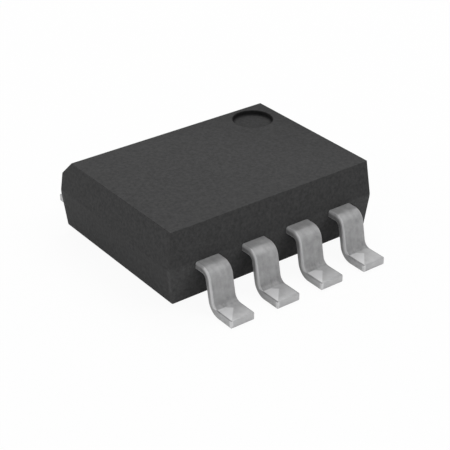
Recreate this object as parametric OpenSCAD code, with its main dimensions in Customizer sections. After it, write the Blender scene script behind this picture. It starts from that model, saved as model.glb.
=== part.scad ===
// Eight lead small outline chip: a moulded body, a formed lead frame, a die and its bond wires.
// X runs along the two rows of leads, Y across them and Z up from the seat under the feet.
// The origin lies on the seat, below the middle of the body.

/* [Moulded body] */
// Length of the body, measured at its parting line
body_length = 4.9; // [4.2:0.05:6.5]
// Width of the body, measured at its parting line
body_width = 3.9; // [3.3:0.05:5.4]
// Height of the top face above the seat
package_height = 1.65; // [1.45:0.01:2.2]
// Gap between the seat and the underside of the body
standoff = 0.11; // [0.05:0.01:0.25]
// Height of the parting line, which is the top face of the lead frame
parting_height = 0.9; // [0.7:0.01:1.05]
// Slope of every side, away from the parting line
draft_angle = 5.5; // [2:0.5:9]
// Radius along all edges of the body
edge_radius = 0.04; // [0.02:0.01:0.1]
// Leg of the 45 degree bevel along the top of the first row's side
bevel_size = 0.37; // [0.2:0.01:0.45]

/* [First lead mark] */
// Diameter of the round mark beside the first lead
mark_diameter = 0.84; // [0.4:0.02:1.1]
// Depth of the mark
mark_depth = 0.1; // [0.04:0.01:0.15]
// Distance from the middle of the mark to the end of the top face
mark_to_end = 0.63; // [0.56:0.01:0.9]
// Distance from the middle of the mark to the bevel
mark_to_bevel = 0.53; // [0.52:0.01:0.8]
// Radius round the rim of a mark and round its floor
mark_rim = 0.015; // [0.005:0.005:0.03]

/* [Ejector mark] */
// Diameter of the round mark that the mould's ejector pin leaves under the body
ejector_diameter = 1; // [0.6:0.05:1.4]
// Depth of the ejector mark
ejector_depth = 0.04; // [0.02:0.01:0.08]

/* [Lead strip] */
// Distance between neighbouring leads of a row
lead_pitch = 1.075; // [0.9:0.005:1.3]
// Width of a lead
lead_width = 0.54; // [0.35:0.01:0.6]
// Thickness of the lead frame
lead_thickness = 0.16; // [0.1:0.01:0.2]
// Radius along the edges of a formed lead
lead_edge_radius = 0.04; // [0.01:0.005:0.04]
// How far a lead reaches past the side of the body
lead_reach = 1.08; // [0.9:0.01:1.4]
// Length of the foot, from its tip to where it would meet the shank without a bend
foot_length = 0.6; // [0.45:0.01:0.7]
// Angle of the shank from upright
shank_lean = 11.5; // [0:0.5:20]
// Inner radius of the bend at the shoulder
shoulder_radius = 0.1; // [0.05:0.01:0.14]
// Inner radius of the bend at the foot
foot_radius = 0.16; // [0.06:0.01:0.2]

/* [Fingers inside the body] */
// Length of the full width root that the compound grips
root_length = 0.5; // [0.46:0.01:0.54]
// How far the locking wings stand out on each side of the root
wing_reach = 0.08; // [0.04:0.01:0.12]
// Distance from the side of the body to the wings
wing_inset = 0.08; // [0.07:0.01:0.1]
// Length of the wings
wing_length = 0.1; // [0.06:0.01:0.12]
// Diameter of the locking hole in the root
lock_hole_diameter = 0.18; // [0.1:0.01:0.22]
// Distance from the side of the body to the middle of the locking hole
lock_hole_inset = 0.33; // [0.31:0.01:0.35]
// Width of a finger at its tip
finger_tip_width = 0.3; // [0.2:0.01:0.36]
// Gap between the fingers and the paddle
finger_gap = 0.2; // [0.12:0.01:0.24]
// Distance from the long centre line to the tips of the outer fingers
outer_tip_offset = 0.45; // [0.35:0.01:0.55]

/* [Die and paddle] */
// Length of the paddle
paddle_length = 2.3; // [1.9:0.05:2.8]
// Width of the paddle
paddle_width = 1.6; // [1.3:0.05:1.95]
// How far the paddle sits below the fingers
paddle_downset = 0.2; // [0.15:0.01:0.26]
// Width of the tie bars
tie_bar_width = 0.24; // [0.16:0.01:0.3]
// Compound left between a tie bar and the end of the body
tie_bar_cover = 0.1; // [0.06:0.01:0.2]
// Length of the silicon die
die_length = 1.5; // [1.2:0.05:1.8]
// Width of the silicon die
die_width = 1.1; // [0.9:0.05:1.25]
// Thickness of the silicon die
die_thickness = 0.25; // [0.18:0.01:0.3]
// Thickness of the adhesive under the die
attach_thickness = 0.03; // [0.02:0.005:0.04]
// How far the adhesive shows around the die
attach_margin = 0.05; // [0.02:0.01:0.08]

/* [Bond wires] */
// Diameter of a bond wire across its corners
wire_diameter = 0.04; // [0.03:0.005:0.05]
// Diameter of the ball on the die
ball_diameter = 0.1; // [0.08:0.01:0.12]
// Height of the ball on the die
ball_height = 0.03; // [0.02:0.005:0.04]
// Distance from the edge of the die to the middle of a ball
ball_inset = 0.12; // [0.08:0.01:0.16]
// Height of the point that draws the wire up out of the ball
loop_pull = 0.32; // [0.24:0.01:0.4]
// Length of the stitch that lies on a finger
stitch_length = 0.08; // [0.05:0.01:0.1]

/* [Hidden] */
leads_per_side = 4;
lead_count = 2 * leads_per_side;

// Colours of the materials
compound_black = "#3c3c3d";
tin_grey = "#b9babd";
copper_red = "#b8734a";
paste_silver = "#8d8f92";
silicon_blue = "#4b5566";
gold_yellow = "#d8ae4c";

// Every cut runs this far past the faces that it opens
cut_margin = 0.1;

// Body
body_edge_facets = 32;
bevel_angle = 45;
body_top_centre = package_height - edge_radius;
body_bottom_centre = standoff + edge_radius;
bevel_foot_height = package_height - bevel_size;
// The centre of the radius on a corner of the bevel lies this far from the corner, along the square face
bevel_knee = edge_radius * tan(bevel_angle / 2);
mark_facets = 64;
mark_rim_steps = 4;
bevel_edge_y = half_width(bevel_foot_height) - bevel_size;
mark_x = half_length(package_height) - mark_to_end;
mark_y = bevel_edge_y - mark_to_bevel;

// Lead strip
strip_facets = 48;
strip_edge_steps = 4;
strip_middle = parting_height - lead_thickness / 2;
strip_start = body_width / 2 - wing_inset / 2;
bend_angle = 90 - shank_lean;
lead_tip = body_width / 2 + lead_reach;
foot_corner = lead_tip - foot_length;
shank_drop = strip_middle - lead_thickness / 2;
shoulder_corner = foot_corner - shank_drop * tan(shank_lean);
shoulder_bend = shoulder_radius + lead_thickness / 2;
foot_bend = foot_radius + lead_thickness / 2;
shoulder_setback = shoulder_bend * tan(bend_angle / 2);
foot_setback = foot_bend * tan(bend_angle / 2);
shank_length = shank_drop / cos(shank_lean) - shoulder_setback - foot_setback;

// Fingers
hole_facets = 32;
root_end = body_width / 2 - root_length;
inner_tip_offset = paddle_width / 2 + finger_gap;
outer_tip_x = paddle_length / 2 + finger_gap + finger_tip_width / 2;
outer_knee = root_end - finger_tip_width / 2;

// Stack under the die
paddle_top = parting_height - paddle_downset;
paddle_bottom = paddle_top - lead_thickness;
die_bottom = paddle_top + attach_thickness;
die_top = die_bottom + die_thickness;
tie_bar_end = half_length(parting_height - lead_thickness) - tie_bar_cover;
tie_bar_slope = 45;
tie_bar_knee = paddle_length / 2 + finger_gap;
tie_bar_rise_end = tie_bar_knee + paddle_downset / tan(tie_bar_slope);
tie_bar_mitre = lead_thickness * tan(tie_bar_slope / 2);

// Wires
wire_sides = 8;
wire_steps = 12;
wire_flat = wire_diameter / 2 * cos(180 / wire_sides);
wire_start_height = die_top + ball_height;
wire_end_height = parting_height + wire_flat;
// Where along its run, as a share, the loop starts to level out towards the stitch
loop_reach = 0.6;
// Outer wires leave the die this far along its short edge, and inner wires along its long edge
outer_ball_share = 0.55;
inner_ball_share = 0.55;

// Half the length or width of the body at a height, from its value at the parting line
function drafted(half, height) = half - abs(height - parting_height) * tan(draft_angle);
function half_length(height) = drafted(body_length / 2, height);
function half_width(height) = drafted(body_width / 2, height);

// Where a lead stands in its own row, counted round the body, which a half turn carries to the other row
function lead_x(number) = ((leads_per_side - 1) / 2 - (number - 1) % leads_per_side) * lead_pitch;
function is_outer(x) = abs(x) > (leads_per_side / 2 - 1) * lead_pitch;
function half_turn(number) = number > leads_per_side ? 0 : 180;

// Middle of a finger's tip, and of the ball that its wire starts from
function finger_tip(x) = is_outer(x) ? [sign(x) * outer_tip_x, outer_tip_offset] : [x, inner_tip_offset];
function ball_place(x) = is_outer(x)
    ? [sign(x) * (die_length / 2 - ball_inset), outer_ball_share * (die_width / 2)]
    : [sign(x) * inner_ball_share * (die_length / 2), die_width / 2 - ball_inset];
function stitch_place(x) = finger_tip(x) + [0, finger_tip_width / 2];

// A ball whose poles and equator are exact, for hulls
module bead(radius) {
    rotate_extrude($fn = body_edge_facets)
        intersection() {
            circle(radius, $fn = body_edge_facets);
            translate([0, -radius])
                square([radius, 2 * radius]);
        }
}

// Outer form of the body, with draft above and below the parting line and a bevel on the first row's side
module moulded_form() {
    inset_width = function(height) half_width(height) - edge_radius;
    bevel_centre = bevel_foot_height - bevel_knee;
    outline = [
        [inset_width(body_bottom_centre), body_bottom_centre],
        [inset_width(parting_height), parting_height],
        [inset_width(body_top_centre), body_top_centre],
        [bevel_knee - bevel_edge_y, body_top_centre],
        [-inset_width(bevel_centre), bevel_centre],
        [-inset_width(parting_height), parting_height],
        [-inset_width(body_bottom_centre), body_bottom_centre]
    ];
    hull()
        for (corner = outline, end = [-1, 1])
            translate([end * (half_length(corner[1]) - edge_radius), corner[0], corner[1]])
                bead(edge_radius);
}

// What a round mark takes away from a face at height zero that looks up, with a soft floor edge and rim
module sunk_mark(diameter, depth) {
    radius = min(mark_rim, depth / 3);
    quarter = [for (step = [0 : mark_rim_steps]) 90 * step / mark_rim_steps];
    floor_edge = [for (angle = quarter)
        [diameter / 2 - radius * (1 - sin(angle)), radius * (1 - cos(angle)) - depth]];
    rim = [for (angle = quarter)
        [diameter / 2 + radius * (1 - cos(angle)), radius * (sin(angle) - 1)]];
    rotate_extrude($fn = mark_facets)
        polygon(concat([[0, -depth]], floor_edge, rim, [[diameter / 2 + radius, cut_margin], [0, cut_margin]]));
}

// Mark beside the first lead
module first_lead_mark() {
    translate([-mark_x, -mark_y, package_height])
        sunk_mark(mark_diameter, mark_depth);
}

// Shallow mark in the middle of the underside
module ejector_mark() {
    translate([0, 0, standoff])
        rotate([180, 0, 0])
            sunk_mark(ejector_diameter, ejector_depth);
}

// Cross section of a formed lead, a flat bar with eased edges
module strip_section() {
    inner = [lead_width / 2 - lead_edge_radius, lead_thickness / 2 - lead_edge_radius];
    quadrants = [[1, 1], [-1, 1], [-1, -1], [1, -1]];
    polygon([for (turn = [0 : 3], step = [0 : strip_edge_steps])
        let (angle = 90 * (turn + step / strip_edge_steps))
        [
            quadrants[turn][0] * inner[0] + lead_edge_radius * cos(angle),
            quadrants[turn][1] * inner[1] + lead_edge_radius * sin(angle)
        ]
    ]);
}

// Straight length of lead along Z, with what follows it placed at its end
module strip_run(length) {
    linear_extrude(length)
        strip_section();
    translate([0, 0, length])
        children();
}

// Bend from Z towards Y where way is 1, or away from Y where it is -1, with what follows it placed at its end
module strip_bend(radius, way) {
    translate([0, way * radius, 0]) {
        rotate([90, 0, -90 * way])
            rotate_extrude(angle = bend_angle, $fn = strip_facets)
                translate([radius, 0])
                    rotate(90)
                        strip_section();
        rotate([-way * bend_angle, 0, 0])
            translate([0, -way * radius, 0])
                children();
    }
}

// Gull wing outside the body: shoulder, bend, shank, bend and foot, each carried on from the one before
module gull_wing() {
    translate([0, strip_start, strip_middle])
        rotate([-90, 0, 0])
            strip_run(shoulder_corner - shoulder_setback - strip_start)
                strip_bend(shoulder_bend, 1)
                    strip_run(shank_length)
                        strip_bend(foot_bend, -1)
                            strip_run(foot_length - foot_setback);
}

// Outline of a finger: the gripped root with its wings, and the arm that runs to the paddle
module finger_outline(x) {
    tip = finger_tip(x);
    knee = is_outer(x) ? outer_knee : tip[1];
    half_tip = finger_tip_width / 2;
    translate([x - lead_width / 2, root_end])
        square([lead_width, strip_start - root_end]);
    translate([x - lead_width / 2 - wing_reach, body_width / 2 - wing_inset - wing_length])
        square([lead_width + 2 * wing_reach, wing_length]);
    polygon([
        [x - lead_width / 2, root_end],
        [x + lead_width / 2, root_end],
        [tip[0] + half_tip, knee],
        [tip[0] + half_tip, tip[1]],
        [tip[0] - half_tip, tip[1]],
        [tip[0] - half_tip, knee]
    ]);
}

// One lead of the second row, inside and outside the body
module formed_lead(x) {
    translate([x, 0, 0])
        gull_wing();
    translate([0, 0, parting_height - lead_thickness])
        difference() {
            linear_extrude(lead_thickness)
                finger_outline(x);
            translate([x, body_width / 2 - lock_hole_inset, -cut_margin])
                cylinder(h = lead_thickness + 2 * cut_margin, d = lock_hole_diameter, $fn = hole_facets);
        }
}

// Lead by its number, counted round the body from the mark
module lead(number) {
    color(tin_grey)
        rotate(half_turn(number))
            formed_lead(lead_x(number));
}

// Paddle under the die, with a tie bar to each end that climbs to the level of the fingers
module die_paddle() {
    profile = [
        [0, paddle_bottom],
        [tie_bar_knee, paddle_bottom],
        [tie_bar_rise_end, paddle_bottom + paddle_downset],
        [tie_bar_end, paddle_bottom + paddle_downset],
        [tie_bar_end, parting_height],
        [tie_bar_rise_end - tie_bar_mitre, parting_height],
        [tie_bar_knee - tie_bar_mitre, paddle_top],
        [0, paddle_top]
    ];
    color(copper_red) {
        translate([-paddle_length / 2, -paddle_width / 2, paddle_bottom])
            cube([paddle_length, paddle_width, lead_thickness]);
        for (end = [0, 180])
            rotate(end)
                rotate([90, 0, 0])
                    linear_extrude(tie_bar_width, center = true)
                        polygon(profile);
    }
}

// Layer of adhesive between the die and the paddle
module die_attach() {
    size = [die_length + 2 * attach_margin, die_width + 2 * attach_margin, attach_thickness];
    color(paste_silver)
        translate([-size[0] / 2, -size[1] / 2, paddle_top])
            cube(size);
}

// Silicon die
module silicon_die() {
    color(silicon_blue)
        translate([-die_length / 2, -die_width / 2, die_bottom])
            cube([die_length, die_width, die_thickness]);
}

// Cubic curve through the first and last of four points
function curve_point(points, share) =
    pow(1 - share, 3) * points[0] + 3 * pow(1 - share, 2) * share * points[1]
    + 3 * (1 - share) * pow(share, 2) * points[2] + pow(share, 3) * points[3];

// Direction of that curve
function curve_slope(points, share) =
    pow(1 - share, 2) * (points[1] - points[0]) + 2 * (1 - share) * share * (points[2] - points[1])
    + pow(share, 2) * (points[3] - points[2]);

// Wire of one lead: a ball on the die, a loop, and a stitch that lies on the finger
module wire_loop(x) {
    start = ball_place(x);
    finish = stitch_place(x);
    run = norm(finish - start);
    level = run - stitch_length / 2;
    along = (finish - start) / run;
    across = [-along[1], along[0], 0];
    control = [
        [0, wire_start_height],
        [0, die_top + loop_pull],
        [loop_reach * level, wire_end_height],
        [level, wire_end_height]
    ];
    shares = [for (step = [0 : wire_steps]) step / wire_steps];
    spine = concat([for (share = shares) curve_point(control, share)],
        [[level + stitch_length, wire_end_height]]);
    slopes = concat([for (share = shares) curve_slope(control, share)], [[1, 0]]);
    rings = [for (index = [0 : len(spine) - 1])
        let (
            slope = slopes[index] / norm(slopes[index]),
            rise = [-slope[1] * along[0], -slope[1] * along[1], slope[0]],
            place = start + spine[index][0] * along,
            middle = [place[0], place[1], spine[index][1]]
        )
        for (side = [0 : wire_sides - 1])
            let (angle = (side + 0.5) * 360 / wire_sides)
            middle + wire_diameter / 2 * (cos(angle) * across + sin(angle) * rise)
    ];
    last_ring = len(spine) - 1;
    walls = [for (ring = [0 : last_ring - 1], side = [0 : wire_sides - 1])
        let (
            near = ring * wire_sides + side,
            beside = ring * wire_sides + (side + 1) % wire_sides
        )
        each [[near, beside, near + wire_sides], [beside, beside + wire_sides, near + wire_sides]]
    ];
    first_cap = [for (side = [0 : wire_sides - 1]) wire_sides - 1 - side];
    last_cap = [for (side = [0 : wire_sides - 1]) last_ring * wire_sides + side];
    polyhedron(rings, concat([first_cap], walls, [last_cap]));
    translate([start[0], start[1], die_top])
        cylinder(h = ball_height, d = ball_diameter, $fn = hole_facets);
}

// Bond wire by the number of its lead
module bond_wire(number) {
    color(gold_yellow)
        rotate(half_turn(number))
            wire_loop(lead_x(number));
}

// Moulded body, cast round everything that it holds
module molded_body() {
    color(compound_black)
        difference() {
            moulded_form();
            first_lead_mark();
            ejector_mark();
            for (number = [1 : lead_count]) {
                lead(number);
                bond_wire(number);
            }
            die_paddle();
            die_attach();
            silicon_die();
        }
}

molded_body();
lead(1);  // lead_1
lead(2);  // lead_2
lead(3);  // lead_3
lead(4);  // lead_4
lead(5);  // lead_5
lead(6);  // lead_6
lead(7);  // lead_7
lead(8);  // lead_8
die_paddle();
die_attach();
silicon_die();
bond_wire(1);  // bond_wire_1
bond_wire(2);  // bond_wire_2
bond_wire(3);  // bond_wire_3
bond_wire(4);  // bond_wire_4
bond_wire(5);  // bond_wire_5
bond_wire(6);  // bond_wire_6
bond_wire(7);  // bond_wire_7
bond_wire(8);  // bond_wire_8
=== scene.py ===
import math

import bmesh
import bpy
from mathutils import Matrix, Vector


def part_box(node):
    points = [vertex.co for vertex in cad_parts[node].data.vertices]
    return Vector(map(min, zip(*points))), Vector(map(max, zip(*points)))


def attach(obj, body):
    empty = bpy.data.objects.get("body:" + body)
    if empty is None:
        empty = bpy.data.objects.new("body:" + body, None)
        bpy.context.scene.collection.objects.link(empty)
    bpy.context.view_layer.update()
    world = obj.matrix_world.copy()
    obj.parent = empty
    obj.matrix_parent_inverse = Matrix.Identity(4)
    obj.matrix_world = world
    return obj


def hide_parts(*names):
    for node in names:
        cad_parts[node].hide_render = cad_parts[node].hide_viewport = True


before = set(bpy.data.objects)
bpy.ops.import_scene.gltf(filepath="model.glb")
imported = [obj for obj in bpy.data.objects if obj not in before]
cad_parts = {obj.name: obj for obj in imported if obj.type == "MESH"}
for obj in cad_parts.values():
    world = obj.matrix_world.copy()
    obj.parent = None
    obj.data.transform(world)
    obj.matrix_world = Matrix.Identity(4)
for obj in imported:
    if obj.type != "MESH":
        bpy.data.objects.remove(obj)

bl_info = {
    "name": "Small outline chip",
    "version": (1, 0, 0),
    "blender": (4, 5, 0),
    "location": "3D View > Sidebar > Chip",
    "description": "Models the body and leads of an eight lead chip, with their finishes and a stage",
    "category": "Object",
}

MM = 0.001
LEADS_PER_SIDE = 4
# Points that lie closer than this, in metres, are one point
MERGE_DISTANCE = 1e-7
# The edges of the body that turn by less than this are its parting line
BLUNT_TURN = math.radians(20)
# A unit direction with more than this share along an axis counts as along it
ALONG_AXIS = 0.9
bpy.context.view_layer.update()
BODY_LOW, BODY_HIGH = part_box("molded_body")
OUTER_LEAD_LOW, OUTER_LEAD_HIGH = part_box("lead_5")
INNER_LEAD_LOW, INNER_LEAD_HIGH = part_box("lead_6")
LEAD_NUMBERS = range(1, 2 * LEADS_PER_SIDE + 1)
INNER_PARTS = ["die_paddle", "die_attach", "silicon_die"] + [f"bond_wire_{n}" for n in LEAD_NUMBERS]


def length(name, text, millimetres, most=10.0):
    """A size property in metres, given in millimetres."""
    return bpy.props.FloatProperty(
        name=name, description=text, default=millimetres * MM, min=0.0, max=most * MM,
        precision=5, unit="LENGTH")


def angle(name, text, degrees):
    """An angle property, given in degrees."""
    return bpy.props.FloatProperty(
        name=name, description=text, default=math.radians(degrees), min=0.0, max=math.pi / 2,
        unit="ROTATION")


def share(name, text, value, most=1.0):
    """A plain number property."""
    return bpy.props.FloatProperty(name=name, description=text, default=value, min=0.0, max=most)


def colour(name, text, value):
    """A colour property, linear."""
    return bpy.props.FloatVectorProperty(
        name=name, description=text, default=value, min=0.0, max=1.0, size=3, subtype="COLOR")


class ChipBodySizes(bpy.types.PropertyGroup):
    """Sizes of the moulded body that the frame's box doesn't give."""

    draft: angle("Draft", "Slope of every side, away from the parting line", 5.5)
    bevel: length("Bevel", "Leg of the 45 degree bevel along the top of the first row's side", 0.36)
    edge_radius: length("Edge radius", "Radius along the edges of the top and its bevel", 0.012)
    corner_radius: length("Corner radius", "Radius along the upright edges and the bottom edges", 0.04)
    parting_radius: length("Parting radius", "Radius along the parting line", 0.4)
    mark_diameter: length("Mark diameter", "Diameter of the round sunk mark", 0.84)
    mark_depth: length("Mark depth", "Depth of the mark", 0.1)
    mark_to_end: length("Mark to end", "From the middle of the mark to the end of the top face", 0.63)
    mark_to_bevel: length("Mark to bevel", "From the middle of the mark to the bevel", 0.53)
    mark_rim: length("Mark rim", "Radius round the rim of a mark and round its floor", 0.03)
    ejector_diameter: length("Ejector mark", "Diameter of the ejector mark under the body", 1.0)
    ejector_depth: length("Ejector depth", "Depth of the ejector mark", 0.04)


class ChipLeadSizes(bpy.types.PropertyGroup):
    """Sizes of the formed leads that the frame's boxes don't give."""

    width: length("Width", "Width of a lead", 0.54)
    thickness: length("Thickness", "Thickness of the lead frame", 0.16)
    edge_radius: length("Edge radius", "Radius along the edges of a lead", 0.04)
    foot_edge_radius: length("Foot edge radius", "Radius along the edges of a foot", 0.022)
    foot_length: length("Foot length", "From the tip to where the foot would meet the shank unbent", 0.6)
    lean: angle("Shank lean", "Angle of the shank from upright", 11.5)
    shoulder_radius: length("Shoulder radius", "Inner radius of the bend at the shoulder", 0.1)
    foot_radius: length("Foot radius", "Inner radius of the bend at the foot", 0.16)
    root_length: length("Root length", "Length of the root that the compound grips", 0.5)
    wing_inset: length("Wing inset", "From the side of the body to the locking wings", 0.08)
    wing_length: length("Wing length", "Length of the locking wings", 0.1)
    tip_width: length("Finger tip width", "Width of a finger at its tip", 0.3)
    hole_diameter: length("Locking hole", "Diameter of the locking hole in the root", 0.18)
    hole_inset: length("Locking hole inset", "From the side of the body to the locking hole", 0.33)


class ChipFinishes(bpy.types.PropertyGroup):
    """Colours and gloss of the chip's materials."""

    compound: colour("Mould compound", "Colour of the moulded body", (0.043, 0.043, 0.0433))
    compound_speck: colour("Compound speck", "Colour of the filler grains", (0.068, 0.068, 0.0683))
    # Painted light: the skin is lighter low on the long sides, where light from the floor falls
    floor_light_gain: share("Lower skin", "Share of its colour that the skin gains low on the long sides", 0.35)
    # Painted shade: the skin darkens towards the marked corner
    corner_shade_depth: share("Gate skin", "Share of its colour that the skin loses towards the marked corner", 0.24)
    corner_shade_start: length("Gate start", "From the chip's middle to where the skin starts to darken", 0.4)
    corner_shade_end: length("Gate end", "From the chip's middle to where the skin is darkest", 2.6)
    # Painted shade on the wall of the mark and on the inner half of its floor
    mark_wall_shade: share("Mark wall", "Share of its colour that the skin loses on the wall of the mark", 0.6)
    mark_floor_shade: share("Mark floor", "Share of the colour lost on the inner half of the mark's floor", 0.14)
    compound_roughness: share("Compound roughness", "Roughness of the moulded skin", 0.5)
    compound_uneven: share("Uneven skin", "How far the grain changes the roughness of the skin", 0.06)
    compound_gloss: share("Compound gloss", "Specular level of the moulded skin", 0.02)
    tin: colour("Tin plate", "Colour of the plated leads", (0.284, 0.284, 0.287))
    # Painted shade in the foot bend and high on the sides of the leads
    shaded_tin: colour("Dull tin", "Colour in the foot bend and high on the sides", (0.185, 0.185, 0.187))
    # Painted light: the flat tops of the feet are lighter, as light from above falls on them
    lit_foot_tin: colour("Foot top", "Colour of the burnished tops of the feet", (0.47, 0.47, 0.474))
    # Painted shade on a foot's top beside the painted reflection; the darker strip at the end of a foot's
    # top takes this colour too
    dark_foot_tin: colour("Foot border", "Colour of a foot's top beside its triangle", (0.37, 0.37, 0.374))
    # Painted reflection: the bright triangle where the shank would be mirrored in the top of each foot
    painted_reflection: colour("Foot patch", "Colour of the bright triangle on each foot", (0.585, 0.585, 0.591))
    # Painted highlights on the rounded edges and on a front corner of each foot; the rolled lines and the
    # grain lighten the plating towards this colour too
    edge_highlight_tin: colour("Lead edge", "Colour of the rounded edges", (0.7, 0.7, 0.707))
    tin_tip: colour("Lead tip", "Colour of the sheared tips", (0.485, 0.485, 0.49))
    # The stamped sides, painted lighter low down, where light from the floor falls
    lit_side_tin: colour("Lead side", "Colour of the stamped sides at the foot", (0.46, 0.46, 0.464))
    tin_lines: share("Rolled lines", "How far the rolled lines lighten the plating", 0.1)
    tin_grain: share("Plating grain", "How far the grain lightens the plating", 0.25)
    # Painted light and shade across the sides: lighter by the outer face, darker by the inner
    side_light_shade: share("Side gain", "Share that a side gains by its outer face and loses by its inner", 0.06)
    # Brightness of the painted highlights on the edges, and the share they keep on the half of a lead away
    # from the light
    side_highlight: share("Side strips", "Brightness of the rounded edges on the sides", 0.88)
    face_highlight: share("Face strips", "Brightness of the rounded edges next to the outer face", 0.68)
    shaded_half_edges: share("Dim edges", "Share of their brightness that the edges keep on a lead's dim half", 0.3)
    tin_roughness: share("Tin roughness", "Roughness of the plated leads", 0.38)
    tin_uneven: share("Uneven tin", "How far the grain changes the roughness of the plating", 0.05)
    tin_metal: share("Tin metal", "Metallic share of the dull plating", 0.1)
    foot_roughness: share("Foot roughness", "Roughness of the burnished tops of the feet", 0.3)
    foot_metal: share("Foot metal", "Metallic share of the burnished tops of the feet", 0.08)
    edge_roughness: share("Edge roughness", "Roughness of the rounded edges and the tips", 0.3)
    edge_metal: share("Edge metal", "Metallic share of the rounded edges and the tips", 0.4)
    tin_gloss: share("Tin gloss", "Specular level of the plating", 0.25)
    copper: colour("Copper", "Colour of the bare lead frame inside the body", (0.72, 0.4, 0.26))
    adhesive: colour("Adhesive", "Colour of the silver filled adhesive", (0.5, 0.5, 0.52))
    silicon: colour("Silicon", "Colour of the die", (0.2, 0.23, 0.3))
    gold: colour("Gold", "Colour of the bond wires", (0.85, 0.68, 0.3))
    dullness: share("Dullness", "Brightness of the dull places of what the compound hides", 0.8)


class ChipStage(bpy.types.PropertyGroup):
    """Camera, floor and lamps."""

    camera_place: bpy.props.FloatVectorProperty(
        name="Camera place", description="Where the camera stands", size=3, subtype="TRANSLATION",
        unit="LENGTH", default=(13.6855 * MM, 18.5735 * MM, 13.4169 * MM), precision=6)
    camera_aim: bpy.props.FloatVectorProperty(
        name="Camera aim", description="Direction in which the camera looks", size=3,
        subtype="DIRECTION", default=(-0.52018, -0.69323, -0.49884))
    focal_length: bpy.props.FloatProperty(
        name="Focal length", description="Focal length in millimetres on a 36 mm sensor",
        default=104.16, min=10.0, max=300.0)
    floor_size: length("Floor", "Side of the square floor", 2000.0, 5000.0)
    floor_white: share("Floor white", "Grey of the floor", 0.9)
    floor_shadow: share("Floor shadow", "Share of the shadow that the floor shows", 0.06)
    mirrored_shadow: share("Mirrored shadow", "Share of the shadow that the floor shows in metal", 0.6)
    room_level: share("Room", "Level of the even light from all round, where 1 is white", 0.5)
    lamp_distance: length("Lamp distance", "From the chip to each lamp", 90.0, 500.0)
    lamp_size: length("Lamp size", "Side of each square lamp", 50.0, 500.0)
    back_level: share("Back lamp", "Level of the lamp high behind the first row", 3.4, 20.0)
    side_level: share("Side lamp", "Level of the lamp high beside the second row", 2.3, 20.0)
    end_level: share("End lamp", "Level of the low lamp beyond leads 4 and 5", 1.4, 20.0)


def sizes(name):
    """The scene's settings of one group."""
    return getattr(bpy.context.scene, name)


def clear_selection():
    """Leaves object mode with nothing selected."""
    if bpy.context.object and bpy.context.object.mode != "OBJECT":
        bpy.ops.object.mode_set(mode="OBJECT")
    bpy.ops.object.select_all(action="DESELECT")


def name_piece(name):
    """Names the active object and its mesh, and returns it."""
    piece = bpy.context.object
    piece.name = name
    piece.data.name = name
    return piece


def pick_faces(test):
    """Selects only the edit mesh's faces that pass a test."""
    mesh = bpy.context.object.data
    bpy.ops.mesh.select_mode(type="FACE")
    bpy.ops.mesh.select_all(action="DESELECT")
    shape = bmesh.from_edit_mesh(mesh)
    for face in shape.faces:
        if test(face):
            face.select_set(True)
    shape.select_flush_mode()
    bmesh.update_edit_mesh(mesh)


def near(value, target):
    """Whether two lengths in metres agree."""
    return abs(value - target) < MERGE_DISTANCE


def extrude(move):
    """Extrudes the selected faces and moves them."""
    bpy.ops.mesh.extrude_region_move(TRANSFORM_OT_translate={"value": tuple(move)})


def apply_modifiers(piece):
    """Applies every modifier of a piece, in order."""
    clear_selection()
    bpy.context.view_layer.objects.active = piece
    piece.select_set(True)
    for modifier in list(piece.modifiers):
        bpy.ops.object.modifier_apply(modifier=modifier.name)


def round_edges(piece, radius_at, segments, flattest):
    """Rounds each edge that turns by more than the flattest to its own radius, and marks the strips."""
    mesh = piece.data
    shape = bmesh.new()
    shape.from_mesh(mesh)
    weight = shape.edges.layers.float.new("bevel_weight_edge")
    turns = {edge: edge.calc_face_angle(0.0) for edge in shape.edges}
    widths = {edge: radius_at(edge) * math.tan(turn / 2) for edge, turn in turns.items() if turn > flattest}
    widest = max(widths.values())
    for edge, width in widths.items():
        edge[weight] = width / widest
    shape.to_mesh(mesh)
    shape.free()
    mesh.materials.append(None)
    mesh.materials.append(None)
    strip_slot = 1
    bevel = piece.modifiers.new("Rounded edges", "BEVEL")
    bevel.limit_method = "WEIGHT"
    bevel.width = widest
    bevel.segments = segments
    bevel.use_clamp_overlap = True
    bevel.miter_outer = "MITER_SHARP"
    bevel.material = strip_slot
    apply_modifiers(piece)
    shape = bmesh.new()
    shape.from_mesh(mesh)
    edge_mask = shape.verts.layers.float.new("edge")
    bmesh.ops.remove_doubles(shape, verts=shape.verts, dist=MERGE_DISTANCE)
    for vert in shape.verts:
        vert[edge_mask] = float(all(face.material_index == strip_slot for face in vert.link_faces))
    for face in shape.faces:
        face.material_index = 0
    shape.to_mesh(mesh)
    shape.free()


def smooth(piece, degrees=35):
    """Shades a piece smooth, with flat faces kept flat."""
    clear_selection()
    bpy.context.view_layer.objects.active = piece
    piece.select_set(True)
    bpy.ops.object.shade_smooth_by_angle(angle=math.radians(degrees))
    weighted = piece.modifiers.new("Flat faces", "WEIGHTED_NORMAL")
    weighted.keep_sharp = True
    apply_modifiers(piece)


def settle(piece, node, material):
    """Gives a finished piece its material and its body, and hides the CAD node that it stands for."""
    piece.data.materials.clear()
    piece.data.materials.append(material)
    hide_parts(node)
    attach(piece, "root")


def cut(piece, cutter):
    """Cuts one piece out of another and removes it."""
    corners = len(piece.data.vertices)
    difference = piece.modifiers.new("Cut", "BOOLEAN")
    difference.object = cutter
    difference.operation = "DIFFERENCE"
    difference.solver = "EXACT"
    apply_modifiers(piece)
    if len(piece.data.vertices) <= corners:
        raise RuntimeError(f"{cutter.name} doesn't cut {piece.name}")
    bpy.data.objects.remove(cutter)


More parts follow.
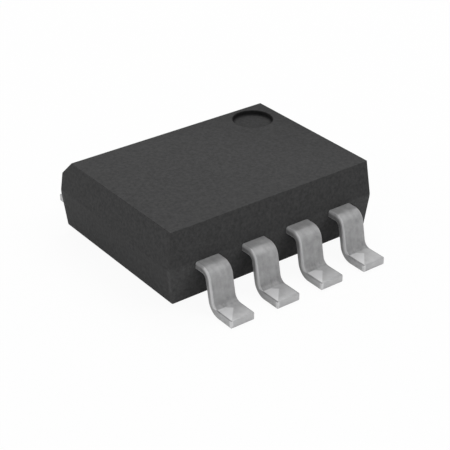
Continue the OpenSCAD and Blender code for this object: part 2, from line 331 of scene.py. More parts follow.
def turned_profile(name, outline, place, steps=96):
    """A solid turned round the vertical, from an outline of radius and height."""
    clear_selection()
    bpy.ops.mesh.primitive_plane_add(size=1, location=place)
    piece = name_piece(name)
    bpy.ops.object.mode_set(mode="EDIT")
    bpy.ops.mesh.delete(type="VERT")
    shape = bmesh.from_edit_mesh(piece.data)
    points = [shape.verts.new((radius, 0.0, height)) for radius, height in outline]
    for first, second in zip(points, points[1:]):
        shape.edges.new((first, second))
    bmesh.update_edit_mesh(piece.data)
    bpy.ops.mesh.select_all(action="SELECT")
    bpy.ops.mesh.spin(steps=steps, angle=2 * math.pi, center=place, axis=(0, 0, 1))
    bpy.ops.mesh.select_all(action="SELECT")
    bpy.ops.mesh.remove_doubles(threshold=MERGE_DISTANCE)
    bpy.ops.mesh.normals_make_consistent(inside=False)
    bpy.ops.object.mode_set(mode="OBJECT")
    return piece


def sunk_outline(radius, depth, rim, steps=4):
    """Outline of a round recess with a soft rim and floor edge, closed above the face it is sunk in."""
    quarter = [math.pi / 2 * step / steps for step in range(steps + 1)]
    floor_edge = [(radius - rim + rim * math.sin(t), -depth + rim - rim * math.cos(t)) for t in quarter]
    rim_edge = [(radius + rim - rim * math.cos(t), -rim + rim * math.sin(t)) for t in quarter]
    clear = depth
    return [(0.0, -depth), *floor_edge, *rim_edge, (radius + rim, clear), (0.0, clear)]


def body_edge_radius(edge, size):
    """The radius along an edge of the body: wide on the blunt parting line, and small round the top."""
    if edge.calc_face_angle() < BLUNT_TURN:
        return size.parting_radius
    first, second = (vert.co for vert in edge.verts)
    at_corner = abs((second - first).normalized().z) > ALONG_AXIS
    at_bottom = max(first.z, second.z) < OUTER_LEAD_HIGH.z
    return size.corner_radius if at_corner or at_bottom else size.edge_radius


def bevel_foot_side(size):
    """Where the foot of the bevel meets the drafted side of the first row, along Y."""
    rise = BODY_HIGH.z - size.bevel - OUTER_LEAD_HIGH.z
    return -(BODY_HIGH.y - rise * math.tan(size.draft))


def mark_middle(size):
    """The middle of the round mark, on the top face."""
    top_half_length = BODY_HIGH.x - (BODY_HIGH.z - OUTER_LEAD_HIGH.z) * math.tan(size.draft)
    return Vector((
        size.mark_to_end - top_half_length,
        bevel_foot_side(size) + size.bevel + size.mark_to_bevel,
        BODY_HIGH.z))


class CHIP_OT_body(bpy.types.Operator):
    """Model the moulded body: a drafted block with a bevel, soft edges and two round marks"""

    bl_idname = "chip.body"
    bl_label = "Moulded body"

    def execute(self, context):
        size = sizes("chip_body")
        parting = OUTER_LEAD_HIGH.z
        clear_selection()
        centre = (BODY_LOW + BODY_HIGH) / 2
        bpy.ops.mesh.primitive_cube_add(size=1, location=centre, scale=BODY_HIGH - BODY_LOW)
        body = name_piece("body")
        bpy.ops.object.transform_apply(location=True, rotation=True, scale=True)
        bpy.ops.object.mode_set(mode="EDIT")
        bpy.ops.mesh.select_all(action="SELECT")
        bpy.ops.mesh.bisect(plane_co=(0, 0, parting), plane_no=(0, 0, 1))
        slope = math.tan(size.draft)
        for height in (BODY_HIGH.z, BODY_LOW.z):
            pick_faces(lambda face: near(face.calc_center_median().z, height))
            drawn_in = abs(height - parting) * slope
            scale = (1 - drawn_in / BODY_HIGH.x, 1 - drawn_in / BODY_HIGH.y, 1)
            bpy.ops.transform.resize(value=scale, center_override=(0, 0, height))
        bevel_side = bevel_foot_side(size)
        bpy.ops.mesh.select_all(action="SELECT")
        bpy.ops.mesh.bisect(
            plane_co=(0, bevel_side, BODY_HIGH.z - size.bevel), plane_no=(0, -1, 1),
            use_fill=True, clear_outer=True)
        bpy.ops.mesh.select_all(action="SELECT")
        bpy.ops.mesh.normals_make_consistent(inside=False)
        bpy.ops.object.mode_set(mode="OBJECT")
        round_edges(body, lambda edge: body_edge_radius(edge, size),
                    segments=5, flattest=math.radians(5))
        outline = sunk_outline(size.mark_diameter / 2, size.mark_depth, size.mark_rim)
        cut(body, turned_profile("mark", outline, mark_middle(size)))
        rim = min(size.mark_rim, size.ejector_depth / 3)
        outline = [(radius, -height) for radius, height in
                   sunk_outline(size.ejector_diameter / 2, size.ejector_depth, rim)]
        cut(body, turned_profile("ejector_mark", outline, (0, 0, BODY_LOW.z)))
        smooth(body)
        settle(body, "molded_body", mould_compound())
        return {"FINISHED"}


def lead_corners(size):
    """Where the straight stretches of a lead end, along its middle line: shoulder, shank and foot."""
    middle = OUTER_LEAD_HIGH.z - size.thickness / 2
    bend = math.pi / 2 - size.lean
    drop = middle - size.thickness / 2
    shoulder_bend = size.shoulder_radius + size.thickness / 2
    foot_bend = size.foot_radius + size.thickness / 2
    foot_corner = OUTER_LEAD_HIGH.y - size.foot_length
    shoulder_corner = foot_corner - drop * math.tan(size.lean)
    shoulder_setback = shoulder_bend * math.tan(bend / 2)
    foot_setback = foot_bend * math.tan(bend / 2)
    return {
        "middle": middle,
        "bend": bend,
        "shoulder_bend": shoulder_bend,
        "foot_bend": foot_bend,
        "shoulder_end": shoulder_corner - shoulder_setback,
        "shank": drop / math.cos(size.lean) - shoulder_setback - foot_setback,
        "foot": size.foot_length - foot_setback,
    }


def model_lead(name, low, high, knee, tip_middle):
    """One lead of the second row, from the tip of its finger inside the body to the tip of its foot."""
    size = sizes("chip_lead")
    place = lead_corners(size)
    middle_x = (low.x + high.x) / 2
    wing_reach = (high.x - low.x - size.width) / 2
    wall = BODY_HIGH.y
    root_end = wall - size.root_length
    start = Vector((middle_x, root_end, place["middle"]))
    clear_selection()
    bpy.ops.mesh.primitive_plane_add(size=1, location=start, rotation=(-math.pi / 2, 0, 0))
    lead = name_piece(name)
    lead.scale = (size.width, size.thickness, 1)
    bpy.ops.object.transform_apply(location=True, rotation=True, scale=True)
    # The upper corners carry on as the outer face of the shank and the top of the foot
    outer = lead.data.attributes.new("outer", "FLOAT", "POINT")
    for vert in lead.data.vertices:
        outer.data[vert.index].value = float(vert.co.z > place["middle"])
    bpy.ops.object.mode_set(mode="EDIT")
    stops = [wall - size.wing_inset - size.wing_length, wall - size.wing_inset, place["shoulder_end"]]
    at = root_end
    bpy.ops.mesh.select_all(action="SELECT")
    for stop in stops:
        extrude((0, stop - at, 0))
        at = stop
    bend_steps = 12
    spin_centre = Vector((middle_x, at, place["middle"] - place["shoulder_bend"]))
    bpy.ops.mesh.spin(steps=bend_steps, angle=place["bend"], center=spin_centre, axis=(1, 0, 0))
    down = Vector((0, math.cos(place["bend"]), -math.sin(place["bend"])))
    extrude(down * place["shank"])
    shape = bmesh.from_edit_mesh(lead.data)
    shank_end = [vert.co for vert in shape.verts if vert.select]
    out = Vector((0, math.sin(place["bend"]), math.cos(place["bend"])))
    spin_centre = sum(shank_end, Vector()) / len(shank_end) + out * place["foot_bend"]
    bpy.ops.mesh.spin(steps=bend_steps, angle=-place["bend"], center=spin_centre, axis=(1, 0, 0))
    extrude((0, place["foot"], 0))
    for side in (-1, 1):
        pick_faces(lambda face: near(face.calc_center_median().x, middle_x + side * size.width / 2)
                   and near(face.calc_center_median().y, wall - size.wing_inset - size.wing_length / 2))
        extrude((side * wing_reach, 0, 0))
    pick_faces(lambda face: near(face.calc_center_median().y, root_end)
               and abs(face.normal.y) > ALONG_AXIS)
    extrude((tip_middle[0] - middle_x, knee - root_end, 0))
    knee_centre = (tip_middle[0], knee, place["middle"])
    bpy.ops.transform.resize(value=(size.tip_width / size.width, 1, 1), center_override=knee_centre)
    if knee > tip_middle[1]:
        extrude((0, tip_middle[1] - knee, 0))
    bpy.ops.mesh.select_all(action="SELECT")
    bpy.ops.mesh.remove_doubles(threshold=MERGE_DISTANCE)
    bpy.ops.mesh.normals_make_consistent(inside=False)
    bpy.ops.object.mode_set(mode="OBJECT")
    return lead


def lead_edge_radius(edge, size):
    """The radius along an edge of a lead, which shrinks through the bend of the foot."""
    place = lead_corners(size)
    flat_start = OUTER_LEAD_HIGH.y - place["foot"]
    bend_start = flat_start - place["foot_bend"] * math.sin(place["bend"])
    middle = (edge.verts[0].co.y + edge.verts[1].co.y) / 2
    along = min(max((middle - bend_start) / (flat_start - bend_start), 0.0), 1.0)
    return size.edge_radius + (size.foot_edge_radius - size.edge_radius) * along


def locking_hole(lead, size):
    """The round hole through the root of a lead that the compound fills."""
    root = [vert.co for vert in lead.data.vertices if near(vert.co.y, BODY_HIGH.y - size.root_length)]
    middle = sum(root, Vector()) / len(root)
    clear_selection()
    bpy.ops.mesh.primitive_cylinder_add(
        vertices=48, radius=size.hole_diameter / 2, depth=3 * size.thickness,
        location=(middle.x, BODY_HIGH.y - size.hole_inset, middle.z))
    return name_piece("hole")


class CHIP_OT_leads(bpy.types.Operator):
    """Model an inner and an outer lead by extrusion and spin, and copy them round the body"""

    bl_idname = "chip.leads"
    bl_label = "Formed leads"

    def execute(self, context):
        size = sizes("chip_lead")
        tin = tin_plate()
        inner_middle = (INNER_LEAD_LOW.x + INNER_LEAD_HIGH.x) / 2
        inner = model_lead("lead_inner", INNER_LEAD_LOW, INNER_LEAD_HIGH,
                           INNER_LEAD_LOW.y, (inner_middle, INNER_LEAD_LOW.y))
        root_end = BODY_HIGH.y - size.root_length
        outer_tip = (OUTER_LEAD_LOW.x + size.tip_width / 2, OUTER_LEAD_LOW.y)
        outer = model_lead("lead_outer", OUTER_LEAD_LOW, OUTER_LEAD_HIGH,
                           root_end - size.tip_width / 2, outer_tip)
        for lead in (inner, outer):
            round_edges(lead, lambda edge: lead_edge_radius(edge, size),
                        segments=4, flattest=math.radians(30))
            cut(lead, locking_hole(lead, size))
        mirror = Matrix.Scale(-1, 4, (1, 0, 0))
        half_turn = Matrix.Rotation(math.pi, 4, "Z")
        step = Matrix.Translation((-2 * inner_middle, 0, 0))
        plain = Matrix.Identity(4)
        row = [(outer, plain), (inner, plain), (inner, step), (outer, mirror)]
        for place, (model, move) in enumerate(row, start=1):
            for number, turn in ((place + LEADS_PER_SIDE, plain), (place, half_turn)):
                mesh = model.data.copy()
                mesh.transform(turn @ move)
                if move is mirror:
                    mesh.flip_normals()
                lead = bpy.data.objects.new(f"formed_lead_{number}", mesh)
                bpy.context.scene.collection.objects.link(lead)
                smooth(lead)
                settle(lead, f"lead_{number}", tin)
        for model in (inner, outer):
            bpy.data.objects.remove(model)
        return {"FINISHED"}


def new_material(name):
    """A node material and its Principled shader."""
    material = bpy.data.materials.new(name)
    material.use_nodes = True
    return material, material.node_tree.nodes["Principled BSDF"]


def math_node(tree, operation, *values):
    """A math node fed by sockets or numbers, and its output."""
    node = tree.nodes.new("ShaderNodeMath")
    node.operation = operation
    for socket, value in zip(node.inputs, values):
        if isinstance(value, (int, float)):
            socket.default_value = value
        else:
            tree.links.new(value, socket)
    return node.outputs[0]


def new_group(name, inputs, outputs):
    """An empty shader node group with its sockets, its input node and its output node."""
    group = bpy.data.node_groups.new(name, "ShaderNodeTree")
    for label, start, least, most in inputs:
        socket = group.interface.new_socket(label, in_out="INPUT", socket_type="NodeSocketFloat")
        socket.default_value, socket.min_value, socket.max_value = start, least, most
    for label, kind in outputs:
        group.interface.new_socket(label, in_out="OUTPUT", socket_type=kind)
    return group, group.nodes.new("NodeGroupInput"), group.nodes.new("NodeGroupOutput")


def noise(tree, vector, scale, detail, roughness=0.5):
    """A noise texture's value at a vector, at the scale that a socket gives."""
    texture = tree.nodes.new("ShaderNodeTexNoise")
    texture.inputs["Detail"].default_value = detail
    texture.inputs["Roughness"].default_value = roughness
    tree.links.new(vector, texture.inputs["Vector"])
    tree.links.new(scale, texture.inputs["Scale"])
    return texture.outputs["Fac"]


def stretched(tree, value, start, full):
    """A mask that is 0 where a value is at its start, and 1 where it is full."""
    spread = tree.nodes.new("ShaderNodeMapRange")
    spread.inputs["From Min"].default_value = start
    spread.inputs["From Max"].default_value = full
    tree.links.new(value, spread.inputs["Value"])
    return spread.outputs["Result"]


def grain_group():
    """Fine even grain: a mask of 0 to 1, and a normal that follows it."""
    group, inputs, outputs = new_group(
        "fine_grain",
        [("Grains per metre", 20000.0, 1.0, 1e6), ("Relief", 1e-6, 0.0, 1e-3)],
        [("Grain", "NodeSocketFloat"), ("Normal", "NodeSocketVector")])
    place = group.nodes.new("ShaderNodeTexCoord").outputs["Object"]
    grain = noise(group, place, inputs.outputs["Grains per metre"], detail=3.0, roughness=0.65)
    grain = stretched(group, grain, start=0.3, full=0.7)
    relief = group.nodes.new("ShaderNodeBump")
    group.links.new(grain, relief.inputs["Height"])
    group.links.new(inputs.outputs["Relief"], relief.inputs["Distance"])
    group.links.new(grain, outputs.inputs["Grain"])
    group.links.new(relief.outputs["Normal"], outputs.inputs["Normal"])
    return group


def lines_group():
    """Fine lines along the leads, as rolling leaves them: a mask of 0 to 1."""
    group, inputs, outputs = new_group(
        "rolled_lines",
        [("Lines per metre", 15000.0, 1.0, 1e6), ("Line length", 0.06, 0.0, 1.0)],
        [("Lines", "NodeSocketFloat")])
    place = group.nodes.new("ShaderNodeTexCoord").outputs["Object"]
    squeeze = group.nodes.new("ShaderNodeCombineXYZ")
    squeeze.inputs["X"].default_value = 1.0
    group.links.new(inputs.outputs["Line length"], squeeze.inputs["Y"])
    group.links.new(inputs.outputs["Line length"], squeeze.inputs["Z"])
    drawn = group.nodes.new("ShaderNodeVectorMath")
    drawn.operation = "MULTIPLY"
    group.links.new(place, drawn.inputs[0])
    group.links.new(squeeze.outputs[0], drawn.inputs[1])
    lines = noise(group, drawn.outputs[0], inputs.outputs["Lines per metre"], detail=2.0)
    group.links.new(stretched(group, lines, start=0.32, full=0.68), outputs.inputs["Lines"])
    return group


def edge_group():
    """Where the rounded edges are, broken up a little: a mask of 0 to 1."""
    group, inputs, outputs = new_group(
        "bright_edges",
        [("Patches per metre", 4000.0, 1.0, 1e6), ("Break up", 0.3, 0.0, 1.0)],
        [("Edge", "NodeSocketFloat")])
    mark = group.nodes.new("ShaderNodeAttribute")
    mark.attribute_name = "edge"
    place = group.nodes.new("ShaderNodeTexCoord").outputs["Object"]
    patches = noise(group, place, inputs.outputs["Patches per metre"], detail=2.0)
    patches = stretched(group, patches, start=0.35, full=0.65)
    missing = math_node(group, "MULTIPLY", patches, inputs.outputs["Break up"])
    kept = math_node(group, "SUBTRACT", 1.0, missing)
    group.links.new(math_node(group, "MULTIPLY", mark.outputs["Fac"], kept), outputs.inputs["Edge"])
    return group


GROUP_MAKERS = {"fine_grain": grain_group, "rolled_lines": lines_group, "bright_edges": edge_group}


def effect(tree, name, **values):
    """Places a shared node group in a material, with its own values."""
    node = tree.nodes.new("ShaderNodeGroup")
    node.node_tree = bpy.data.node_groups.get(name) or GROUP_MAKERS[name]()
    for label, value in values.items():
        node.inputs[label.replace("_", " ").capitalize()].default_value = value
    return node


def blend(tree, mask, first, second):
    """A colour between two colours or sockets, by a mask."""
    node = tree.nodes.new("ShaderNodeMix")
    node.data_type = "RGBA"
    colour_inputs = [socket for socket in node.inputs if socket.type == "RGBA"]
    tree.links.new(mask, node.inputs[0])
    for socket, value in zip(colour_inputs, (first, second)):
        if isinstance(value, bpy.types.NodeSocket):
            tree.links.new(value, socket)
        else:
            socket.default_value = (*value, 1)
    return [socket for socket in node.outputs if socket.type == "RGBA"][0]


def between(tree, mask, first, second):
    """A number between two numbers, by a mask."""
    spread = tree.nodes.new("ShaderNodeMapRange")
    spread.inputs["To Min"].default_value = first
    spread.inputs["To Max"].default_value = second
    tree.links.new(mask, spread.inputs["Value"])
    return spread.outputs["Result"]


def mixed(tree, mask, first, second):
    """A number between a socket and a number, by a mask."""
    node = tree.nodes.new("ShaderNodeMix")
    node.inputs["B"].default_value = second
    tree.links.new(mask, node.inputs["Factor"])
    tree.links.new(first, node.inputs["A"])
    return node.outputs["Result"]


def place_of(tree):
    """The X, Y and Z of a point on a piece."""
    place = tree.nodes.new("ShaderNodeSeparateXYZ")
    tree.links.new(tree.nodes.new("ShaderNodeTexCoord").outputs["Object"], place.inputs[0])
    return place.outputs["X"], place.outputs["Y"], place.outputs["Z"]


def product(tree, *masks):
    """Several masks or numbers multiplied."""
    whole = masks[0]
    for mask in masks[1:]:
        whole = math_node(tree, "MULTIPLY", whole, mask)
    return whole


def scaled(tree, tint, factor):
    """A colour multiplied by a number, both sockets."""
    scale = tree.nodes.new("ShaderNodeVectorMath")
    scale.operation = "SCALE"
    tree.links.new(tint, scale.inputs[0])
    tree.links.new(factor, scale.inputs["Scale"])
    return scale.outputs[0]


def rest_of(tree, mask):
    """What a mask leaves."""
    return math_node(tree, "SUBTRACT", 1.0, mask)


def lies_along(tree, x, y, direction):
    """How far a place lies along a level direction."""
    return math_node(tree, "ADD", product(tree, x, direction[0]), product(tree, y, direction[1]))


# Level directions away from the marked corner, over the floor of the mark, and towards it, over the body
FROM_CORNER = (0.6, 0.8)
TO_CORNER = (-0.8, -0.6)
# Where a mask of the skin starts and ends: along the floor of the mark from its middle, for the painted
# shade there, and down from the parting line and in from the widest part of the long sides, for the painted
# light low on them
MARK_FLOOR = (-0.05 * MM, 0.15 * MM)
LOWER_PART = (-0.05 * MM, 0.05 * MM)
LONG_SIDES = (0.15 * MM, 0.08 * MM)


def mark_shade(tree, x, y, z):
    """How much of its colour the skin keeps in the round mark: painted shade darkens its wall and the inner
    half of its floor.
    """
    size, look = sizes("chip_body"), sizes("chip_finish")
    middle = mark_middle(size)
    radius, rim = size.mark_diameter / 2, size.mark_rim
    aside = math_node(tree, "SUBTRACT", x, middle.x)
    along = math_node(tree, "SUBTRACT", y, middle.y)
    distance = math_node(tree, "SQRT", math_node(
        tree, "ADD", product(tree, aside, aside), product(tree, along, along)))
    flat_floor, mouth = radius - 2 * rim, radius + 2 * rim
    sunk = stretched(tree, z, BODY_HIGH.z, BODY_HIGH.z - rim / 3)
    wall = product(tree, stretched(tree, distance, flat_floor, radius),
                   stretched(tree, distance, mouth + rim, mouth), sunk)
    floor = product(tree, stretched(tree, distance, flat_floor + rim, flat_floor), sunk,
                    stretched(tree, lies_along(tree, aside, along, FROM_CORNER), *MARK_FLOOR))
    return product(tree, between(tree, wall, 1.0, 1.0 - look.mark_wall_shade),
                   between(tree, floor, 1.0, 1.0 - look.mark_floor_shade))


def mould_compound():
    """Black filled epoxy with the fine grain of a spark eroded mould, painted lighter low on the long
    sides, with painted shade towards the marked corner and in the mark.
    """
    look = sizes("chip_finish")
    material, shader = new_material("moulded_skin")
    tree = material.node_tree
    x, y, z = place_of(tree)
    skin = effect(tree, "fine_grain", grains_per_metre=16000.0, relief=1.2e-6)
    grain = skin.outputs["Grain"]
    # Painted light low on the long sides, where light from the floor falls
    lower = stretched(tree, math_node(tree, "SUBTRACT", OUTER_LEAD_HIGH.z, z), *LOWER_PART)
    drawn_in = math_node(tree, "SUBTRACT", BODY_HIGH.y, math_node(tree, "ABSOLUTE", y))
    floor_lit_side = product(tree, lower, stretched(tree, drawn_in, *LONG_SIDES))
    # Painted shade, darkest towards the marked corner
    corner_shade = stretched(tree, lies_along(tree, x, y, TO_CORNER), look.corner_shade_start, look.corner_shade_end)
    kept = product(tree, between(tree, floor_lit_side, 1.0, 1.0 + look.floor_light_gain),
                   between(tree, corner_shade, 1.0, 1.0 - look.corner_shade_depth), mark_shade(tree, x, y, z))
    tint = scaled(tree, blend(tree, grain, look.compound, look.compound_speck), kept)
    tree.links.new(tint, shader.inputs["Base Color"])
    smoothest = look.compound_roughness - look.compound_uneven
    rough = between(tree, grain, smoothest, look.compound_roughness + look.compound_uneven)
    tree.links.new(rough, shader.inputs["Roughness"])
    tree.links.new(skin.outputs["Normal"], shader.inputs["Normal"])
    shader.inputs["Specular IOR Level"].default_value = look.compound_gloss
    return material


# Where a mask on a lead starts and where it is full. First between the inner face of a lead, 0, and its
# outer face, 1: the two faces, the sheared end, the painted highlight on the rounded edges of the sides,
# and the painted light that grows across the sides towards the outer face
OUTER_FACE = (0.97, 0.99)
INNER_FACE = (0.03, 0.01)
SHEAR_TOP = (0.83, 0.77)
SHEAR_BOTTOM = (0.03, 0.1)
UPPER_SIDE = (0.55, 0.78)
SIDE_RISE = (0.2, 0.75)
# Then by the height above the top of a foot
FOOT_LEVEL = (0.008 * MM, 0.002 * MM)
FOOT_TOP = (0.012 * MM, -0.001 * MM)
# Up to where the painted shade in the foot bend fades
BEND_SHADE = (0.125 * MM, 0.055 * MM)
# In from the side of a lead, or back from the tip of its foot
FOOT_MARGIN = (0.024 * MM, 0.036 * MM)
CORNER = (0.06 * MM, 0.035 * MM)
TIP_STRIP_END = (0.06 * MM, 0.03 * MM)
SHEARED_END = (0.02 * MM, 0.01 * MM)
# Across the long side of the painted reflection of the shank on each foot, a triangle, and back from the
# tip to its blunt corner by the bend
TRIANGLE = (-0.012 * MM, 0.012 * MM)
# Across which the painted shade beside the painted reflection fades out
SHADED = (-0.35 * MM, -0.05 * MM)
BLUNT_CORNER = (0.405 * MM, 0.375 * MM)
# Across a lead to the half that keeps its painted edge highlights, and up its sides
LIT_HALF = (-0.1 * MM, 0.1 * MM)
SIDE_CLIMB = (0.1 * MM, 0.9 * MM)
# How far the painted reflection's long side runs across the foot for its length, how far its blunt corner
# runs along the foot for its width, and how much the way back from the tip adds to the height on the sides,
# for the painted light and shade there
TRIANGLE_SLANT = 0.88
BLUNT_SLANT = 0.82
CLIMB_SLANT = 0.4


def lead_masks(tree):
    """Masks of the parts of a lead's surface, from its attributes and its place; most of them lay out
    painted light, shade, highlights and a reflection.
    """
    size, look = sizes("chip_lead"), sizes("chip_finish")
    x, y, z = place_of(tree)
    outer = tree.nodes.new("ShaderNodeAttribute")
    outer.attribute_name = "outer"
    outward = outer.outputs["Fac"]
    edges = effect(tree, "bright_edges", patches_per_metre=5000.0, break_up=0.3).outputs["Edge"]
    pitch = (OUTER_LEAD_HIGH.x + OUTER_LEAD_LOW.x - INNER_LEAD_HIGH.x - INNER_LEAD_LOW.x) / 2
    along_row = math_node(tree, "ADD", product(tree, x, math_node(tree, "SIGN", y)), pitch / 2)
    across = math_node(tree, "WRAP", along_row, pitch / 2, -pitch / 2)
    half = size.width / 2
    from_side = math_node(tree, "SUBTRACT", half, math_node(tree, "ABSOLUTE", across))
    from_tip = math_node(tree, "SUBTRACT", OUTER_LEAD_HIGH.y, math_node(tree, "ABSOLUTE", y))
    rise = math_node(tree, "SUBTRACT", z, size.thickness)
    face = stretched(tree, outward, *OUTER_FACE)
    side = rest_of(tree, math_node(tree, "ADD", face, stretched(tree, outward, *INNER_FACE)))
    level = stretched(tree, rise, *FOOT_LEVEL)
    within = product(tree, face, stretched(tree, from_side, *FOOT_MARGIN))
    foot = product(tree, within, stretched(tree, rise, *FOOT_TOP))
    # The painted reflection of the shank on each foot's top, a triangle between its long side and its blunt
    # corner
    border = product(tree, math_node(tree, "SUBTRACT", size.foot_length, from_tip), TRIANGLE_SLANT)
    inside = math_node(tree, "SUBTRACT", math_node(tree, "ADD", across, half), border)
    to_bend = math_node(tree, "SUBTRACT", from_tip, product(tree, across, BLUNT_SLANT))
    patch = product(tree, within, level, stretched(tree, inside, *TRIANGLE),
                    stretched(tree, to_bend, *BLUNT_CORNER))
    sheared = product(tree, stretched(tree, outward, *SHEAR_TOP), stretched(tree, outward, *SHEAR_BOTTOM),
                      stretched(tree, from_tip, *SHEARED_END))
    # Painted highlights along the rounded edges and high on the sides, and on one front corner of each
    # foot, mostly on one half of a lead
    strip = math_node(tree, "MAXIMUM", edges, product(tree, side, stretched(tree, outward, *UPPER_SIDE)))
    strip = product(
        tree, strip, between(tree, face, look.side_highlight, look.face_highlight), rest_of(tree, level))
    corner = product(tree, side, stretched(tree, math_node(tree, "SUBTRACT", half, across), *CORNER),
                     stretched(tree, from_tip, *CORNER))
    lit_half = between(tree, stretched(tree, across, *LIT_HALF), look.shaded_half_edges, 1.0)
    climb = math_node(tree, "ADD", z, product(tree, from_tip, CLIMB_SLANT))
    return {
        "side": side,
        # Up the sides, painted light low down gives way to painted shade, and across them painted light
        # grows towards the outer face
        "climb": stretched(tree, climb, *SIDE_CLIMB),
        "upward": stretched(tree, outward, *SIDE_RISE),
        # Painted shade in the bend of the foot
        "bend_shade": product(tree, face, stretched(tree, rise, *BEND_SHADE)),
        "foot": foot,
        # Painted shade on a foot's top, strongest beside the painted reflection
        "beside": stretched(tree, inside, *SHADED),
        "patch": patch,
        "tip_strip": product(tree, foot, stretched(tree, from_tip, *TIP_STRIP_END)),
        "tip": sheared,
        "bright": product(tree, math_node(tree, "MAXIMUM", strip, corner), lit_half),
    }


def tin_plate():
    """Satin tin: dull faces with painted shade in the foot bends, stamped sides painted lighter low down
    and darker high up, painted highlights on the edges and corners, bright sheared tips, and the tops of
    the feet painted lighter, with a painted reflection of the shank and painted shade beside it.
    """
    look = sizes("chip_finish")
    material, shader = new_material("tin_plate")
    tree = material.node_tree
    mask = lead_masks(tree)
    lines = effect(tree, "rolled_lines", lines_per_metre=14000.0, line_length=0.06).outputs["Lines"]
    plating = effect(tree, "fine_grain", grains_per_metre=6500.0, relief=5e-7)
    grain = plating.outputs["Grain"]
    uneven = math_node(
        tree, "ADD", product(tree, lines, look.tin_lines), product(tree, grain, look.tin_grain))
    # Paints light low on the sides and shade high on them, lighter by the outer face
    side_tint = blend(tree, mask["climb"], look.lit_side_tin, look.shaded_tin)
    side_tint = scaled(
        tree, side_tint, between(tree, mask["upward"], 1.0 - look.side_light_shade, 1.0 + look.side_light_shade))
    # Paints shade into the bend of the foot
    base = blend(tree, mask["bend_shade"], look.tin, look.shaded_tin)
    base = blend(tree, mask["side"], base, side_tint)
    # The flat top of each foot is painted lighter, as light from above falls on it, with painted shade
    # beside the painted reflection
    base = blend(tree, mask["foot"], base, blend(tree, mask["beside"], look.lit_foot_tin, look.dark_foot_tin))
    # Paints the reflection of the shank on each foot
    base = blend(tree, mask["patch"], base, look.painted_reflection)
    # A darker strip along the end of each foot's top
    base = blend(tree, mask["tip_strip"], base, look.dark_foot_tin)
    base = blend(tree, mask["tip"], base, look.tin_tip)
    base = blend(tree, uneven, base, look.edge_highlight_tin)
    # Paints the highlights on the edges and corners
    tree.links.new(blend(tree, mask["bright"], base, look.edge_highlight_tin), shader.inputs["Base Color"])
    shiny = math_node(tree, "MAXIMUM", mask["bright"], mask["tip"])
    metal = between(tree, mask["foot"], look.tin_metal, look.foot_metal)
    tree.links.new(mixed(tree, shiny, metal, look.edge_metal), shader.inputs["Metallic"])
    smoothest = look.tin_roughness - look.tin_uneven
    rough = between(tree, grain, smoothest, look.tin_roughness + look.tin_uneven)
    rough = mixed(tree, mask["foot"], rough, look.foot_roughness)
    tree.links.new(mixed(tree, shiny, rough, look.edge_roughness), shader.inputs["Roughness"])
    tree.links.new(plating.outputs["Normal"], shader.inputs["Normal"])
    shader.inputs["Specular IOR Level"].default_value = look.tin_gloss
    return material


def inner_finish(name, tint, roughness, metallic, lines=False, uneven=0.08):
    """A finish for what the compound hides: two tones, mixed by a grain or by rolled lines."""
    material, shader = new_material(name)
    tree = material.node_tree
    grain = effect(tree, "fine_grain", grains_per_metre=24000.0, relief=5e-7)
    mask = grain.outputs["Grain"]
    if lines:
        mask = effect(tree, "rolled_lines", lines_per_metre=12000.0, line_length=0.08).outputs["Lines"]
    dull = tuple(sizes("chip_finish").dullness * part for part in tint)
    tree.links.new(blend(tree, mask, dull, tint), shader.inputs["Base Color"])
    tree.links.new(between(tree, mask, roughness + uneven, roughness - uneven), shader.inputs["Roughness"])
    tree.links.new(grain.outputs["Normal"], shader.inputs["Normal"])
    shader.inputs["Metallic"].default_value = metallic
    return material


class CHIP_OT_inner_parts(bpy.types.Operator):
    """Finish the paddle, adhesive, die and bond wires inside the body"""

    bl_idname = "chip.inner_parts"
    bl_label = "Inner parts"

    def execute(self, context):
        look = sizes("chip_finish")
        finishes = {
            "die_paddle": inner_finish(
                "rolled_copper", look.copper, roughness=0.35, metallic=1.0, lines=True),
            "die_attach": inner_finish("cured_adhesive", look.adhesive, roughness=0.6, metallic=0.5),
            "silicon_die": inner_finish("polished_silicon", look.silicon, roughness=0.14, metallic=0.6),
        }
        gold = inner_finish("drawn_gold", look.gold, roughness=0.25, metallic=1.0)
        for node in INNER_PARTS:
            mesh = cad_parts[node].data
            mesh.materials.clear()
            mesh.materials.append(finishes.get(node, gold))
        return {"FINISHED"}


class CHIP_OT_stage(bpy.types.Operator):
    """Set the pale floor, the studio light and the camera"""

    bl_idname = "chip.stage"
    bl_label = "Stage"

    def execute(self, context):
        stage = sizes("chip_stage")
        clear_selection()
        bpy.ops.mesh.primitive_plane_add(size=stage.floor_size, location=(0, 0, 0))
        floor = name_piece("floor")
        floor.data.materials.append(white_floor())
        white_world()
        set_lamps()
        camera = bpy.data.objects.new("camera", bpy.data.cameras.new("camera"))
        context.scene.collection.objects.link(camera)
        camera.location = stage.camera_place
        camera.rotation_mode = "QUATERNION"
        camera.rotation_quaternion = Vector(stage.camera_aim).to_track_quat("-Z", "Y")
        camera.data.sensor_fit = "HORIZONTAL"
        camera.data.sensor_width = 36
        camera.data.lens = stage.focal_length
        camera.data.clip_start = 1 * MM
        camera.data.clip_end = 10
        context.scene.camera = camera
        context.scene.view_settings.view_transform = "Standard"
        return {"FINISHED"}


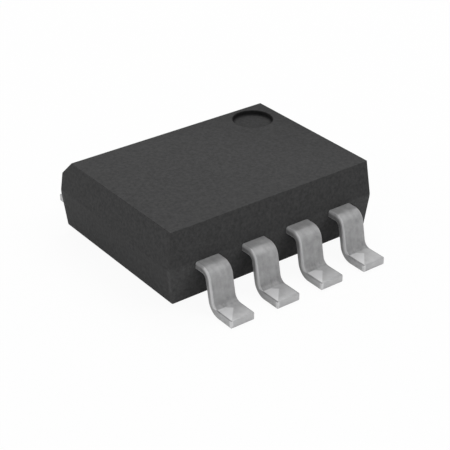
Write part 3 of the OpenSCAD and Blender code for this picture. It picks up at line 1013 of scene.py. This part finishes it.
def white_floor():
    """Pale floor that shows white with a faint shadow."""
    stage = sizes("chip_stage")
    material = bpy.data.materials.new("white_floor")
    material.use_nodes = True
    tree = material.node_tree
    tree.nodes.clear()
    paper = tree.nodes.new("ShaderNodeBsdfDiffuse")
    paper.inputs["Color"].default_value = (stage.floor_white, stage.floor_white, stage.floor_white, 1)
    white = tree.nodes.new("ShaderNodeEmission")
    shown = tree.nodes.new("ShaderNodeMixShader")
    mirrored = tree.nodes.new("ShaderNodeLightPath").outputs["Is Glossy Ray"]
    tree.links.new(between(tree, mirrored, stage.floor_shadow, stage.mirrored_shadow), shown.inputs["Fac"])
    floor = tree.nodes.new("ShaderNodeMixShader")
    output = tree.nodes.new("ShaderNodeOutputMaterial")
    tree.links.new(white.outputs[0], shown.inputs[1])
    tree.links.new(paper.outputs[0], shown.inputs[2])
    tree.links.new(seen_rays(tree), floor.inputs["Fac"])
    tree.links.new(paper.outputs[0], floor.inputs[1])
    tree.links.new(shown.outputs[0], floor.inputs[2])
    tree.links.new(floor.outputs[0], output.inputs["Surface"])
    return material


def white_world():
    """A white background, and the even light of a white room."""
    world = bpy.data.worlds.new("white_room")
    bpy.context.scene.world = world
    world.use_nodes = True
    tree = world.node_tree
    background = tree.nodes["Background"]
    background.inputs["Color"].default_value = (1, 1, 1, 1)
    level = tree.nodes.new("ShaderNodeMix")
    level.inputs["A"].default_value = sizes("chip_stage").room_level
    level.inputs["B"].default_value = 1.0
    tree.links.new(seen_rays(tree), level.inputs["Factor"])
    tree.links.new(level.outputs["Result"], background.inputs["Strength"])


def seen_rays(tree):
    """A mask of the rays that show the background: camera, glossy and transmission rays."""
    path = tree.nodes.new("ShaderNodeLightPath").outputs
    mirrored = math_node(tree, "MAXIMUM", path["Is Glossy Ray"], path["Is Transmission Ray"])
    return math_node(tree, "MAXIMUM", path["Is Camera Ray"], mirrored)


def set_lamps():
    """Three soft square lamps: high behind the first row, high beside the second, and low beyond an end."""
    stage = sizes("chip_stage")
    softbox("back_lamp", azimuth=233, elevation=60, level=stage.back_level)
    softbox("side_lamp", azimuth=135, elevation=57, level=stage.side_level)
    softbox("end_lamp", azimuth=323, elevation=20, level=stage.end_level)


def softbox(name, azimuth, elevation, level):
    """A square lamp that shines on the chip, placed by its direction in degrees from +X towards +Y."""
    stage = sizes("chip_stage")
    turn, rise = math.radians(azimuth), math.radians(elevation)
    direction = Vector((math.cos(turn) * math.cos(rise), math.sin(turn) * math.cos(rise), math.sin(rise)))
    light = bpy.data.lights.new(name, "AREA")
    light.shape = "SQUARE"
    light.size = stage.lamp_size
    # The power that makes the face of the lamp as bright as its level
    light.energy = level * math.pi * stage.lamp_size ** 2
    lamp = bpy.data.objects.new(name, light)
    lamp.location = direction * stage.lamp_distance
    lamp.rotation_mode = "QUATERNION"
    lamp.rotation_quaternion = direction.to_track_quat("Z", "Y")
    bpy.context.scene.collection.objects.link(lamp)


class CHIP_PT_panel(bpy.types.Panel):
    """Sizes, finishes and steps of the chip"""

    bl_idname = "CHIP_PT_panel"
    bl_label = "Small outline chip"
    bl_space_type = "VIEW_3D"
    bl_region_type = "UI"
    bl_category = "Chip"

    def draw(self, context):
        for group in GROUPS:
            box = self.layout.box()
            settings = getattr(context.scene, group)
            for name in settings.bl_rna.properties.keys():
                if name not in {"rna_type", "name"}:
                    box.prop(settings, name)
        for operator in STEPS:
            self.layout.operator(operator.bl_idname)


GROUPS = {
    "chip_body": ChipBodySizes,
    "chip_lead": ChipLeadSizes,
    "chip_finish": ChipFinishes,
    "chip_stage": ChipStage,
}
STEPS = (CHIP_OT_stage, CHIP_OT_body, CHIP_OT_leads, CHIP_OT_inner_parts)


def register():
    """Registers the settings, the steps and the panel."""
    for name, group in GROUPS.items():
        bpy.utils.register_class(group)
        setattr(bpy.types.Scene, name, bpy.props.PointerProperty(type=group))
    for step in (*STEPS, CHIP_PT_panel):
        bpy.utils.register_class(step)


def unregister():
    """Removes the settings, the steps and the panel."""
    for step in reversed((*STEPS, CHIP_PT_panel)):
        bpy.utils.unregister_class(step)
    for name, group in GROUPS.items():
        delattr(bpy.types.Scene, name)
        bpy.utils.unregister_class(group)


def main():
    """Builds the whole scene."""
    register()
    bpy.ops.chip.stage()
    bpy.ops.chip.body()
    bpy.ops.chip.leads()
    bpy.ops.chip.inner_parts()


if __name__ == "__main__":
    main()
